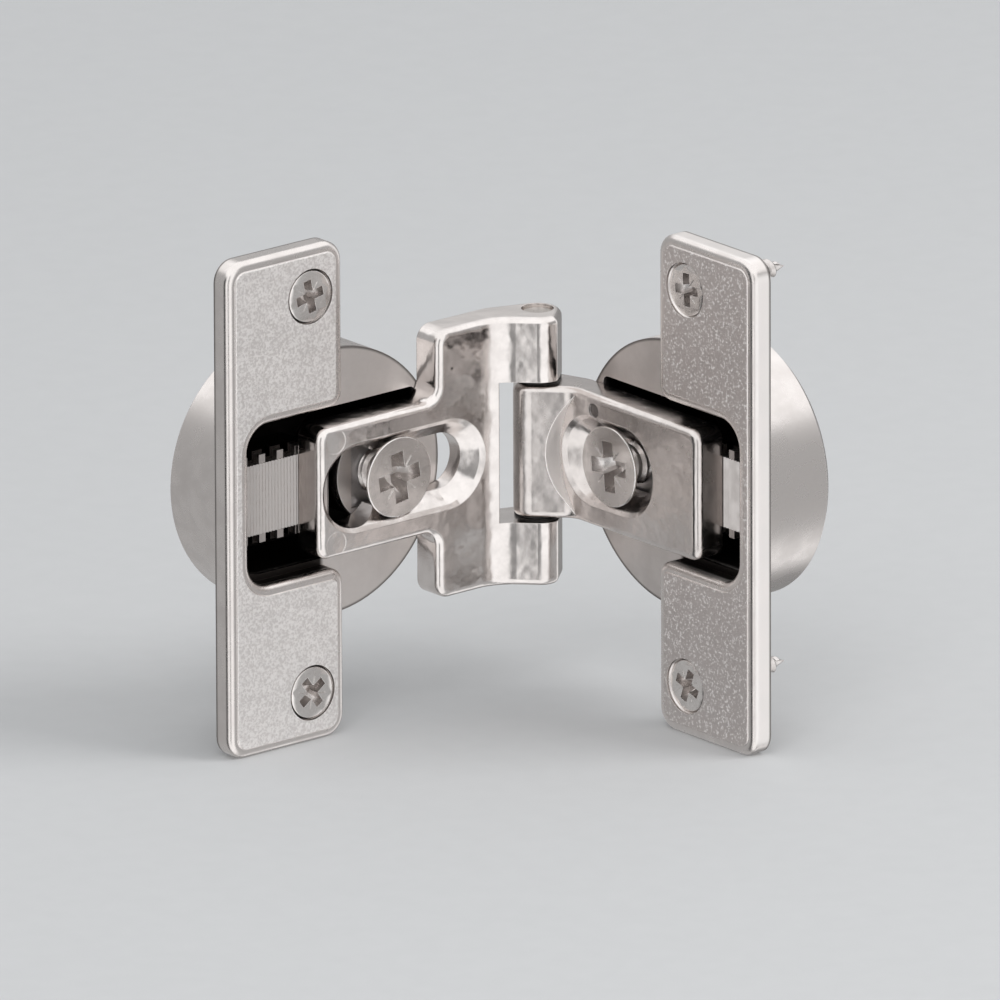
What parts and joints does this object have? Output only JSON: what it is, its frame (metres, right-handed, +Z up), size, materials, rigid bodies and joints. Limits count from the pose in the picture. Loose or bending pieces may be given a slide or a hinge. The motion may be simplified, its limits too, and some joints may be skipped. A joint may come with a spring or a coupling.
{
  "type": "furniture centre hinge",
  "caption": "Centre hinge for folding furniture doors: two screw-on cups carry slotted arms that meet on one upright pin.",
  "frame": {"origin": "centre of the left cup's 35 mm drilling, on the door's face", "axes": "+X along the left door towards the hinge pin, +Y into the left door, +Z up along the hinge pin; at rest the right door stands square to the left one and +X goes into it"},
  "size_m": [0.0668, 0.0577, 0.065],
  "materials": {
    "satin_nickel_casting": "nickel-plated zinc casting with a satin, finely blasted face",
    "polished_nickel_casting": "nickel-plated zinc casting, polished smooth",
    "nickel_screw": "nickel-plated steel screw",
    "strip_steel": "nickel-plated steel with fine cut teeth",
    "zinced_steel": "zinc-plated steel",
    "pin_steel": "turned steel",
    "black_plastic": "black plastic"
  },
  "bodies": {
    "left_cup": {"left_cup": "satin_nickel_casting", "left_toothed_strip": "strip_steel", "left_clamp_nut": "zinced_steel", "left_upper_fixing_screw": "nickel_screw", "left_lower_fixing_screw": "nickel_screw"},
    "left_clamp_screw": {"left_clamp_screw": "nickel_screw"},
    "left_arm": {"left_arm": "polished_nickel_casting", "hinge_pin": "pin_steel", "upper_washer": "black_plastic", "lower_washer": "black_plastic"},
    "right_arm": {"right_arm": "polished_nickel_casting"},
    "right_cup": {"right_cup": "satin_nickel_casting", "right_toothed_strip": "strip_steel", "right_clamp_nut": "zinced_steel", "right_upper_fixing_screw": "nickel_screw", "right_lower_fixing_screw": "nickel_screw"},
    "right_clamp_screw": {"right_clamp_screw": "nickel_screw"}
  },
  "joints": [
    {"name": "left_side_adjustment", "type": "slide", "parent": "left_cup", "child": "left_arm", "axis": [1, 0, 0], "range_m": [-0.003, 0.0015]},
    {"name": "leaf_swing", "type": "hinge", "parent": "left_arm", "child": "right_arm", "pos_m": [0.0302, -0.0043, 0], "axis": [0, 0, 1], "range_deg": [-82, 90]},
    {"name": "right_side_adjustment", "type": "slide", "parent": "right_arm", "child": "right_cup", "axis": [0, 1, 0], "range_m": [-0.002, 0.002]},
    {"name": "left_clamp_turn", "type": "hinge", "parent": "left_cup", "child": "left_clamp_screw", "pos_m": [0.0076, 0, 0], "axis": [0, -1, 0], "continuous": true},
    {"name": "right_clamp_turn", "type": "hinge", "parent": "right_cup", "child": "right_clamp_screw", "pos_m": [0.0345, -0.0181, 0], "axis": [-1, 0, 0], "continuous": true}
  ]
}
